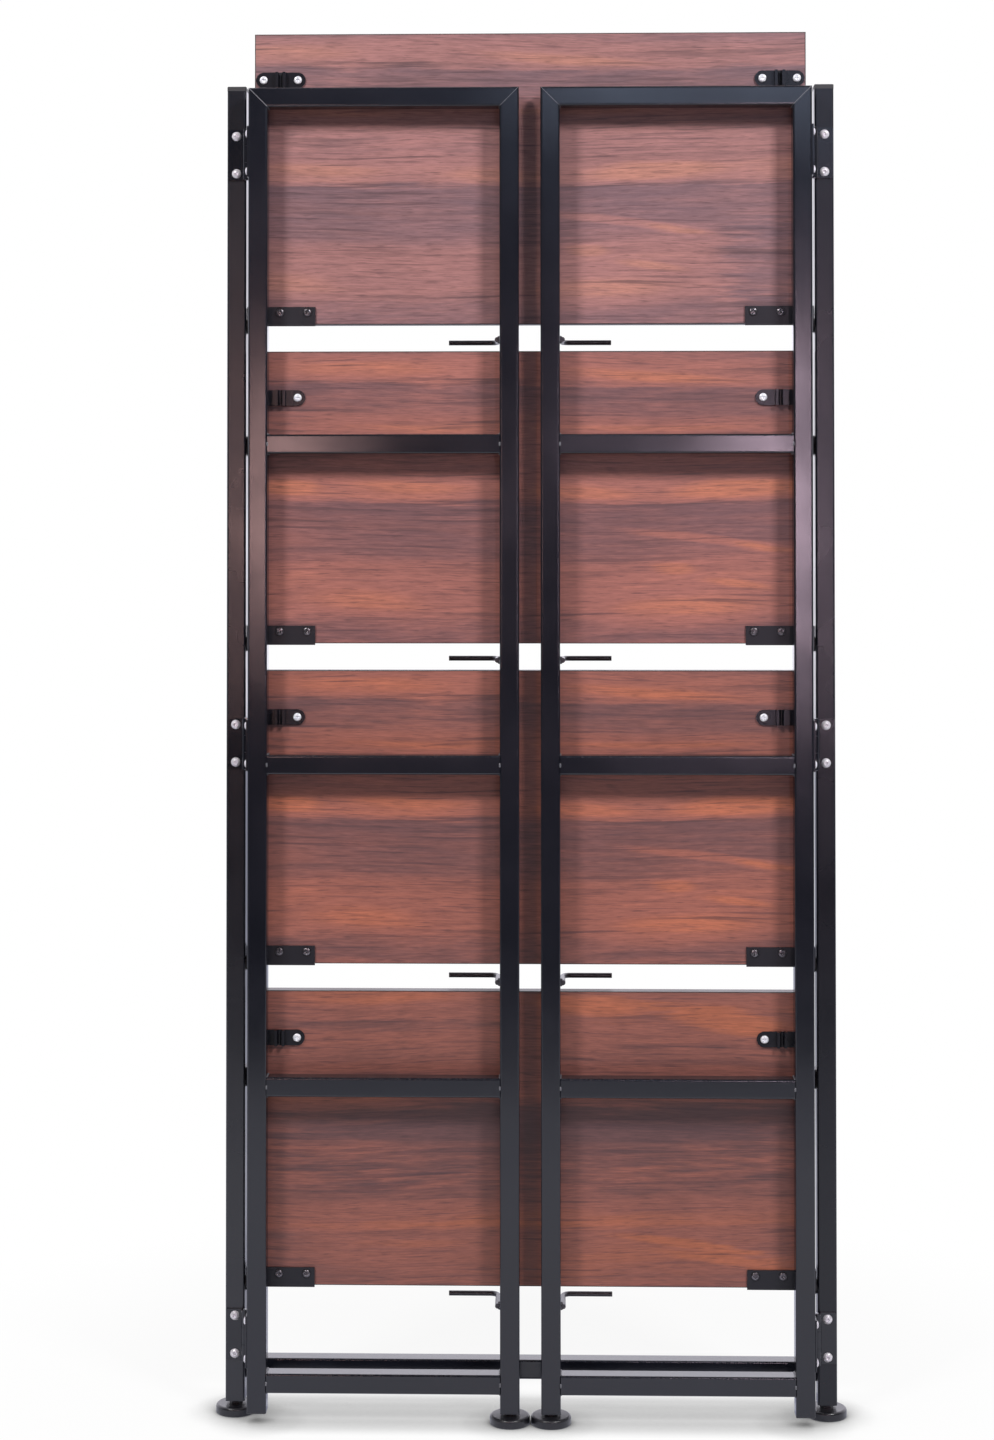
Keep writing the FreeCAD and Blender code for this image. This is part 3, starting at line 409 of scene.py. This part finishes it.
def plated(name, colour, tarnish, rough, metallic=1.0):
    """Metal material with the tarnish and scratch effect."""
    made = bpy.data.materials.new(name)
    made.use_nodes = True
    t = made.node_tree
    t.nodes.clear()
    skin = put(t, "ShaderNodeGroup", node_tree=METAL)
    skin.inputs["Colour"].default_value = (*colour, 1)
    skin.inputs["Tarnish"].default_value = (*tarnish, 1)
    skin.inputs["Roughness"].default_value = rough
    shader = put(t, "ShaderNodeBsdfPrincipled",
                 {"Base Color": skin.outputs["Colour"], "Roughness": skin.outputs["Roughness"],
                  "Normal": skin.outputs["Normal"], "Metallic": metallic})
    put(t, "ShaderNodeOutputMaterial", {"Surface": shader.outputs[0]})
    return made


rivet_metal = plated("bright_rivet_alloy", (0.90, 0.87, 0.92), (0.66, 0.61, 0.68), 0.32, 0.25)
zinc = plated("zinc_plate", (0.62, 0.63, 0.66), (0.42, 0.41, 0.40), 0.30)
paint(zinc, "hinge_pins")


def turned(profile, centre, axis, around=36, recess=None):
    """Surface of revolution: each (radius, height) of the profile is a ring round the axis,
    the height counted from the centre along it.  recess(u, v, r) lowers points of the face."""
    radius, height = np.array(profile, float).T
    axis = np.array(axis, float)
    first = np.cross(axis, (0, 0, 1.0) if abs(axis[2]) < 0.9 else (1.0, 0, 0))
    first /= np.linalg.norm(first)
    second = np.cross(axis, first)
    angle = np.linspace(0, 2 * np.pi, around, endpoint=False)
    u = radius[:, None] * np.cos(angle)
    v = radius[:, None] * np.sin(angle)
    h = np.repeat(height[:, None], around, 1)
    if recess is not None:
        # the first four rings are the shank and the underside of the head
        on_top = (np.arange(len(radius)) > 3)[:, None]
        h = h - recess(u, v, radius[:, None]) * on_top
    points = (np.array(centre, float) + u[..., None] * first + v[..., None] * second
              + h[..., None] * axis)
    return points.reshape(-1, 3), grid_faces(len(radius), around)


def rivet_profile():
    """Domed head 9.4 mm across and 2.35 mm high, a quarter wave from its rim to a 2.8 mm hole
    that shows the stub of the mandrel."""
    t = np.linspace(0, 1, 9)
    dome = [(0.0, -3.0), (2.4, -3.0), (2.4, 0.0), (4.5, 0.0), (4.7, 0.25)]
    dome += [(4.7 - 3.1 * a, 0.25 + 2.1 * math.sin(a * math.pi / 2)) for a in t[1:]]
    dome += [(1.5, 2.25), (1.42, 2.0), (1.36, 1.1), (1.2, 1.05), (1.15, 1.3), (0.95, 1.42),
             (0.0, 1.45)]
    return dome


HINGE_LEVELS = (1240.5, 658.5, 78.5)
# two rivets to a leaf, 18.5 mm below and above the hinge's middle
RIVET_LEVELS = [z + d for z in HINGE_LEVELS for d in (-18.5, 18.5)]
# middles of the back uprights and of the side frames' tubes, and the leaves' outer faces
UPRIGHT_X, FRAME_Y = 290.5, -18.0
FIXED_LEAF_Y, MOVING_LEAF_X = -1.5, 277.5
heads = [turned(rivet_profile(), (sign * UPRIGHT_X, FIXED_LEAF_Y, z), (0, -1, 0))
         for sign in (-1, 1) for z in RIVET_LEVELS]
points, faces = join(heads)
new_piece("blind_rivets_fixed", points, faces, rivet_metal, "bookcase",
          ["hinge_fixed_rivets"])
for sign, side in SIDES:
    heads = [turned(rivet_profile(), (sign * MOVING_LEAF_X, FRAME_Y, z), (sign, 0, 0))
             for z in RIVET_LEVELS]
    points, faces = join(heads)
    new_piece("blind_rivets_" + side, points, faces, rivet_metal, "side_frame_" + side,
              ["hinge_moving_rivets_" + side])


# ---- Boards ------------------------------------------------------------------------
# Four particleboard shelves faced on both sides with a walnut-grain melamine sheet, the
# grain running side to side, and edged with a thin dark band ironed onto all four edges.

BOARD_LEVELS = (1072.0, 757.0, 442.0, 127.0)
BOARD_HALF, BOARD_TALL = 272.5, 288.5
BOARD_FRONT, BOARD_BACK = -1.0, 14.0
BAND = 0.5


def walnut_effect():
    """Walnut figure along X.  Zones from the rear edge to the front edge set purple-grey
    against red-brown and orange, ovals with blurred rims lay flames over them, and fibres,
    veins, dark lines, flecks and short pores are noise stretched along the grain."""
    g, start, end = shared_effect(
        "walnut_figure",
        [("Dark", COLOUR, (0.1, 0.05, 0.05, 1)), ("Red", COLOUR, (0.25, 0.1, 0.08, 1)),
         ("Orange", COLOUR, (0.4, 0.17, 0.1, 1)), ("Offset", ARROW, (0, 0, 0))],
        [("Colour", COLOUR), ("Roughness", NUMBER), ("Height", NUMBER)])
    where = put(g, "ShaderNodeTexCoord").outputs["Object"]
    shifted = put(g, "ShaderNodeVectorMath", {0: where, 1: start.outputs["Offset"]},
                  operation="ADD")
    # slow wander that bends every line of the figure alike
    wander = put(g, "ShaderNodeMapping", {"Vector": shifted.outputs[0], "Scale": (1.7, 1, 2.2)})
    wander = put(g, "ShaderNodeTexNoise", {"Vector": wander.outputs[0], "Scale": 1.0,
                                           "Detail": 2.0})
    wander = put(g, "ShaderNodeMath", {0: wander.outputs["Fac"], 1: 0.5}, operation="SUBTRACT")
    wander = put(g, "ShaderNodeMath", {0: wander.outputs[0], 1: 0.05}, operation="MULTIPLY")
    rise = put(g, "ShaderNodeCombineXYZ", {"Z": wander.outputs[0]})
    line = put(g, "ShaderNodeVectorMath", {0: shifted.outputs[0], 1: rise.outputs[0]},
               operation="ADD")

    def stretched(scale, detail, rough=0.55):
        """Noise along the grain, squeezed by a scale for each axis."""
        mapped = put(g, "ShaderNodeMapping", {"Vector": line.outputs[0], "Scale": scale})
        return put(g, "ShaderNodeTexNoise", {"Vector": mapped.outputs[0], "Scale": 1.0,
                                             "Detail": detail, "Roughness": rough}).outputs["Fac"]

    def ramp(value, low, high, to_low=0.0, to_high=1.0):
        """Smooth step of a value between two limits, onto two others."""
        return put(g, "ShaderNodeMapRange", {"Value": value, "From Min": low, "From Max": high,
                                             "To Min": to_low, "To Max": to_high},
                   interpolation_type="SMOOTHSTEP").outputs[0]

    def calc(kind, a, b):
        """One sum of two values."""
        return put(g, "ShaderNodeMath", {0: a, 1: b}, operation=kind).outputs[0]

    def mixed(amount, below, above):
        """One colour over another, by an amount."""
        return put(g, "ShaderNodeMix", {0: amount, 6: below, 7: above}, data_type="RGBA").outputs[2]

    # the printed sheet repeats: from the board's rear edge to its front edge, zones of
    # purple-grey (0), red-brown (0.5) and orange (1)
    level = put(g, "ShaderNodeSeparateXYZ", {0: line.outputs[0]}).outputs["Z"]
    fibres = calc("SUBTRACT", stretched((15, 1, 230), 3.0, 0.6), 0.5)
    slow = calc("SUBTRACT", stretched((1.6, 1, 16), 3.0, 0.55), 0.5)
    level = calc("ADD", calc("DIVIDE", level, BOARD_TALL * MM), calc("MULTIPLY", fibres, 0.05))
    level = calc("FRACT", level, 0.0)
    zones = put(g, "ShaderNodeValToRGB", {0: level})
    table = ((0.0, 0.30), (0.07, 0.34), (0.12, 0.62), (0.25, 0.60), (0.30, 0.40), (0.37, 0.24),
             (0.475, 0.06), (0.50, 0.66), (0.55, 0.72), (0.60, 0.46), (0.72, 0.50), (0.765, 0.56),
             (0.80, 0.22), (0.89, 0.16), (0.915, 0.58), (0.97, 0.60), (1.0, 0.38))
    while len(zones.color_ramp.elements) < len(table):
        zones.color_ramp.elements.new(0.5)
    for stop, (at, value) in zip(zones.color_ramp.elements, table):
        stop.position, stop.color = at, (value, value, value, 1)
    warm = calc("ADD", zones.outputs[0], calc("MULTIPLY", slow, 1.3))
    warm = calc("ADD", warm, calc("MULTIPLY", fibres, 0.55))
    # flames of the figure: middle x and z, half length, half height, slope and strength
    for x, z, long, tall, slope, strength in (
            (0.205, 0.152, 0.075, 0.011, -1, 0.42), (0.055, 0.150, 0.060, 0.007, 0, 0.22),
            (-0.238, 0.152, 0.034, 0.010, 0, 0.42), (-0.120, 0.156, 0.070, 0.008, 1, 0.25),
            (0.175, 0.102, 0.090, 0.0050, 8, 0.48), (0.232, 0.094, 0.036, 0.0060, 6, 0.35),
            (0.140, 0.074, 0.026, 0.0080, 3, 0.42), (0.205, 0.058, 0.040, 0.0045, 6, 0.28),
            (0.150, 0.030, 0.085, 0.0170, -2, 0.30), (-0.160, 0.040, 0.070, 0.0120, 2, 0.28),
            (-0.170, 0.274, 0.110, 0.0110, 0, 0.34), (0.130, 0.268, 0.120, 0.0070, 3, 0.34),
            (-0.130, 0.214, 0.100, 0.0050, 0, 0.26), (0.120, 0.216, 0.110, 0.0040, 0, 0.26),
            (0.320, 0.060, 0.060, 0.0420, -4, -0.45), (-0.410, 0.346, 0.075, 0.0150, 9, 0.62),
            (-0.540, 0.360, 0.075, 0.0180, 4, 0.50), (-0.760, 0.366, 0.130, 0.0110, 0, 0.42),
            (-0.745, 0.338, 0.150, 0.0070, 1, -0.30), (-0.600, 0.305, 0.300, 0.0160, 0, 0.10),
            (-0.600, 0.218, 0.340, 0.0380, 0, -0.36), (-0.590, 0.122, 0.330, 0.0340, 1, 0.50),
            (-0.430, 0.122, 0.100, 0.0050, 8, 0.40), (-0.400, 0.108, 0.080, 0.0050, 7, 0.35),
            (-0.740, 0.130, 0.090, 0.0060, 3, 0.30)):
        oval = put(g, "ShaderNodeMapping", {"Vector": line.outputs[0], "Location": (x, 0, z),
                                            "Rotation": (0, math.radians(slope), 0),
                                            "Scale": (long, 1, tall)}, vector_type="TEXTURE")
        reach = put(g, "ShaderNodeVectorMath", {0: oval.outputs[0]}, operation="LENGTH")
        edge = calc("ADD", reach.outputs["Value"], calc("MULTIPLY", fibres, 1.6))
        warm = calc("ADD", warm, ramp(edge, 1.25, 0.35, 0.0, strength))
    fine = stretched((52, 1, 760), 3.0, 0.6)
    lines = ramp(stretched((7.5, 1, 300), 3.0, 0.6), 0.54, 0.68)
    flecks = ramp(stretched((42, 1, 520), 2.0, 0.6), 0.55, 0.74)
    pores = ramp(stretched((90, 1, 1900), 1.0), 0.64, 0.78)
    veins = ramp(stretched((1.9, 1, 120), 2.0, 0.5), 0.55, 0.64)
    mottle = stretched((10, 1, 6.0), 3.0, 0.6)
    base = mixed(ramp(warm, -0.05, 0.62), start.outputs["Dark"], start.outputs["Red"])
    base = mixed(ramp(warm, 0.60, 1.15, 0.0, 0.9), base, start.outputs["Orange"])
    veins = calc("MULTIPLY", veins, ramp(warm, 0.2, 0.8, 0.50, 0.12))
    base = mixed(veins, base, (0.075, 0.036, 0.040, 1))
    tone = calc("MULTIPLY", ramp(fine, 0.25, 0.75, 0.80, 1.22), ramp(mottle, 0.3, 0.7, 0.93, 1.07))
    tone = calc("MULTIPLY", tone, ramp(fibres, -0.2, 0.2, 0.93, 1.07))
    base = put(g, "ShaderNodeVectorMath", {0: base, "Scale": tone}, operation="SCALE").outputs[0]
    base = mixed(calc("MULTIPLY", lines, 0.58), base, (0.066, 0.030, 0.036, 1))
    base = mixed(calc("MULTIPLY", flecks, 0.52), base, (0.060, 0.027, 0.030, 1))
    base = mixed(calc("MULTIPLY", pores, 0.35), base, (0.050, 0.020, 0.020, 1))
    g.links.new(base, end.inputs["Colour"])
    g.links.new(ramp(fine, 0.3, 0.7, 0.44, 0.54), end.inputs["Roughness"])
    g.links.new(calc("SUBTRACT", fine, pores), end.inputs["Height"])
    return g


WALNUT = walnut_effect()


def walnut(name, dark, red, orange, offset):
    """Melamine printed with the walnut figure in three tones, shifted by an offset in metres."""
    made = bpy.data.materials.new(name)
    made.use_nodes = True
    t = made.node_tree
    t.nodes.clear()
    figure = put(t, "ShaderNodeGroup", node_tree=WALNUT)
    figure.inputs["Dark"].default_value = (*dark, 1)
    figure.inputs["Red"].default_value = (*red, 1)
    figure.inputs["Orange"].default_value = (*orange, 1)
    figure.inputs["Offset"].default_value = offset
    bump = put(t, "ShaderNodeBump", {"Height": figure.outputs["Height"], "Strength": 0.3,
                                     "Distance": 0.00006})
    shader = put(t, "ShaderNodeBsdfPrincipled",
                 {"Base Color": figure.outputs["Colour"], "Roughness": figure.outputs["Roughness"],
                  "Normal": bump.outputs[0]})
    put(t, "ShaderNodeOutputMaterial", {"Surface": shader.outputs[0]})
    return made


def slab(half_x, y_low, y_high, z_low, z_high):
    """Block from its six limits."""
    x, y, z = np.meshgrid((-half_x, half_x), (y_low, y_high), (z_low, z_high), indexing="ij")
    points = np.stack([x, y, z], -1).reshape(-1, 3)
    faces = [(0, 1, 3, 2), (4, 6, 7, 5), (0, 4, 5, 1), (2, 3, 7, 6), (0, 2, 6, 4), (1, 5, 7, 3)]
    return points, np.array(faces)


def edge_band(half_x, y_low, y_high, z_low, z_high, thick=BAND, radius=0.45):
    """Band round the four edges: a profile with rounded arrises carried round the rectangle,
    mitred at its corners."""
    turn = np.linspace(0, math.pi / 2, 5)
    flat = thick - radius
    low = [(flat + radius * math.sin(a), y_low + radius - radius * math.cos(a)) for a in turn]
    high = [(flat + radius * math.cos(a), y_high - radius + radius * math.sin(a)) for a in turn]
    profile = np.array([(-0.4, y_low)] + low + high + [(-0.4, y_high)])
    out, y = profile.T
    cx, cz, mid = half_x - thick, (z_high - z_low) / 2 - thick, (z_high + z_low) / 2
    corners = np.array([(1, 1), (-1, 1), (-1, -1), (1, -1)], float)
    x = corners[None, :, 0] * (cx + out[:, None])
    z = mid + corners[None, :, 1] * (cz + out[:, None])
    points = np.stack([x, np.repeat(y[:, None], 4, 1), z], -1).reshape(-1, 3)
    faces = grid_faces(len(profile), 4)
    last = (len(profile) - 1) * 4
    closing = [(last + i, last + (i + 1) % 4, (i + 1) % 4, i) for i in range(4)]
    return points, np.concatenate([faces, closing])[:, ::-1]


edge_strip = coated("dark_edge_band", (0.030, 0.017, 0.015), 0.45, 1500, 0.00004, 0.05)
# the print is cut a little differently for each board, its tones differ a little in hue from board
# to board, and they are painted darker on the lower boards as painted shade for light falling off
# towards the floor: its shift along and across the grain, then its dark, red and orange
PRINTS_AND_PAINTED_SHADE = (((0.085, 0.004), (0.165, 0.088, 0.104), (0.325, 0.142, 0.134), (0.44, 0.184, 0.133)),
          ((0.0, 0.003), (0.160, 0.072, 0.078), (0.340, 0.120, 0.097), (0.49, 0.160, 0.090)),
          ((0.0, 0.0), (0.150, 0.065, 0.065), (0.328, 0.109, 0.080), (0.50, 0.148, 0.074)),
          ((-0.6, 0.088), (0.118, 0.053, 0.053), (0.272, 0.093, 0.070), (0.43, 0.128, 0.064)))
for number, (low, board_print_and_shade) in enumerate(zip(BOARD_LEVELS, PRINTS_AND_PAINTED_SHADE), 1):
    (along, across), dark, red, orange = board_print_and_shade
    offset = (along, 0.0, across - low * MM)
    grain = walnut("walnut_melamine_%d" % number, dark, red, orange, offset)
    # the panel fills the band and stays 0.02 mm below its arrises
    points, faces = slab(BOARD_HALF - BAND, BOARD_FRONT + 0.02, BOARD_BACK - 0.02,
                         low + BAND, low + BOARD_TALL - BAND)
    new_piece("shelf_%d_panel" % number, points, faces, grain, "bookcase",
              ["shelf_board_%d" % number], smooth=False)
    points, faces = edge_band(BOARD_HALF, BOARD_FRONT, BOARD_BACK, low, low + BOARD_TALL)
    new_piece("shelf_%d_edge_band" % number, points, faces, edge_strip, "bookcase",
              smooth=False)


# ---- Pivot brackets -------------------------------------------------------------------
# Folded 2 mm sheet steel at each rear corner of a board, coated black, held by two dark pan
# screws.  A pin through its ear and a plastic spacer turns in the upright.

bracket_coat = coated("bracket_black_coat", (0.0105, 0.0105, 0.0150), 0.42, 900, 0.00005, 0.05,
                      gloss=0.3)
paint(bracket_coat, *["shelf_brackets_%d" % n for n in range(1, 5)])
spacer_plastic = coated("black_nylon", (0.016, 0.015, 0.017), 0.5, 600, 0.00005, 0.08)
paint(spacer_plastic, "pivot_spacers")
paint(zinc, "pivot_pins")


def cross_recess(u, v, r):
    """Depth of a cross-head recess: the deeper of two arms, 0.9 mm wide and 4.1 mm long at half
    depth with sloped sides, and a cone in the middle."""
    near = np.minimum(np.abs(u), np.abs(v))
    far = np.maximum(np.abs(u), np.abs(v))
    arm = np.clip((0.62 - near) / 0.3, 0, 1) * np.clip((2.3 - far) / 0.5, 0, 1)
    cone = np.clip((1.1 - r) / 0.5, 0, 1)
    return np.maximum(arm * 0.9, cone * 1.2)


def pan_profile():
    """Pan head 8 mm across and 2.2 mm high on a 3.8 mm shank, rings close together where the
    recess is cut."""
    head = [(0.0, -9.0), (1.9, -9.0), (1.9, 0.0), (3.8, 0.0), (4.0, 0.3), (4.0, 0.8), (3.75, 1.35),
            (3.3, 1.75), (2.8, 1.98)]
    rings = (2.5, 2.3, 2.1, 1.9, 1.7, 1.5, 1.3, 1.1, 0.95, 0.8, 0.6, 0.4, 0.2, 0.0)
    head += [(r, 2.2 - 0.028 * r * r) for r in rings]
    return head


dark_screw = plated("black_zinc", (0.16, 0.15, 0.16), (0.05, 0.045, 0.05), 0.30)
# front face of a bracket, and its screws' places across and above the board's low edge
BRACKET_FRONT, BRACKET_SCREW_XS, BRACKET_SCREW_RISE = -3.0, (247.0, 220.0), 12.0
screws = [turned(pan_profile(), (sign * x, BRACKET_FRONT, low + BRACKET_SCREW_RISE), (0, -1, 0),
                 around=48, recess=cross_recess)
          for low in BOARD_LEVELS for sign in (-1, 1) for x in BRACKET_SCREW_XS]
points, faces = join(screws)
new_piece("bracket_pan_screws", points, faces, dark_screw, "bookcase",
          ["bracket_screws"])


# ---- Snap clips --------------------------------------------------------------------------
# Black nylon clips near the front corners of each board, moulded with ribs and two jaws that
# snap over a rod, each held by two bright pan screws.

clip_plastic = coated("glossy_black_nylon", (0.007, 0.007, 0.011), 0.28, 500, 0.00003, 0.02,
                      gloss=0.32)
paint(clip_plastic, *["shelf_clips_%d" % n for n in range(1, 5)])
bright_screw = plated("nickel_plate", (0.86, 0.87, 0.92), (0.60, 0.60, 0.68), 0.26, 0.20)
CLIP_FRONT, CLIP_SCREW_XS, CLIP_SCREW_RISE = -2.6, (229.5, 263.5), 242.5
screws = [turned(pan_profile(), (sign * x, CLIP_FRONT, low + CLIP_SCREW_RISE), (0, -1, 0),
                 around=48, recess=cross_recess)
          for low in BOARD_LEVELS for sign in (-1, 1) for x in CLIP_SCREW_XS]
points, faces = join(screws)
new_piece("clip_pan_screws", points, faces, bright_screw, "bookcase",
          ["clip_screws"])


# ---- Support rods ----------------------------------------------------------------------
# Bent 5 mm wire, two for each board, welded to the outer side of the side frames' inner
# uprights and coated with them.  Folded, they reach back through the gaps between the boards.

rod_coat = coated("rod_black_coat", (0.040, 0.036, 0.044), 0.34, 1000, 0.00008, 0.06)
paint(rod_coat, "support_rods_left", "support_rods_right")
# drop of a rod below its board's low edge, and the ends of its beads from front to rear
ROD_DROP, BEAD_FRONT, BEAD_REAR = 16.0, -13.2, -8.2
for sign, side in SIDES:
    welds = []
    x = sign * (RAIL_IN + 0.7)
    for low in BOARD_LEVELS:
        level = low - ROD_DROP
        # one bead below the wire and one above it
        for z in (level - 2.1, level + 2.1):
            welds.append(bead((x, BEAD_FRONT, z), (x, BEAD_REAR, z), 1.5))
    points, faces = join(welds)
    new_piece("support_rod_%s_welds" % side, points, faces, rod_coat, "side_frame_" + side)


# ---- Caps, plugs and levelling feet ----------------------------------------------------
# Moulded black plastic closes every open tube.  The four feet are round pads with a hexagonal
# hub on an M8 zinc-plated stem that screws into an insert in the tube.

cap_plastic = coated("matt_black_plastic", (0.022, 0.022, 0.026), 0.55, 700, 0.00006, 0.16)
paint(cap_plastic, "upright_top_caps", "back_rail_end_plugs", "side_frame_left_end_plugs",
      "side_frame_right_end_plugs", "back_foot_inserts")
foot_plastic = coated("foot_moulded_plastic", (0.006, 0.006, 0.009), 0.32, 420, 0.00005, 0.04)
for _, side in SIDES:
    paint(foot_plastic, "foot_pad_back_" + side, "foot_pad_front_" + side)


def thread(x, y, low, high, radius=4.0, pitch=1.25, depth=0.55, around=32):
    """Threaded stem: the radius dips along a helix, as a rounded saw of height and angle, and
    shrinks to nothing at both ends.  A turn has eight rings."""
    rows = int((high - low) / pitch * 8)
    z = np.linspace(low, high, rows)[:, None]
    angle = np.linspace(0, 2 * np.pi, around, endpoint=False)[None, :]
    phase = (z / pitch - angle / (2 * np.pi)) % 1.0
    r = radius - depth * np.abs(2 * phase - 1) ** 1.2
    r = r * np.clip(np.minimum(z - low, high - z) / 0.3, 0, 1) ** 0.5
    points = np.stack([x + r * np.cos(angle), y + r * np.sin(angle), z + 0 * angle], -1)
    return points.reshape(-1, 3), grid_faces(rows, around)


# the stems start in the pads and end in the tubes; a back one stands half a tube behind the
# upright's front face
STEM_LOW, BACK_STEM_HIGH, FRONT_STEM_HIGH = 2.5, 29.5, 28.0
INNER_UPRIGHT_X = 20.0
for sign, side in SIDES:
    points, faces = thread(sign * UPRIGHT_X, HALF_TUBE, STEM_LOW, BACK_STEM_HIGH)
    new_piece("foot_thread_back_" + side, points, faces, zinc, "foot_back_" + side,
              ["foot_stem_back_" + side])
    points, faces = thread(sign * INNER_UPRIGHT_X, FRAME_Y, STEM_LOW, FRONT_STEM_HIGH)
    new_piece("foot_thread_front_" + side, points, faces, zinc, "foot_front_" + side,
              ["foot_stem_front_" + side])
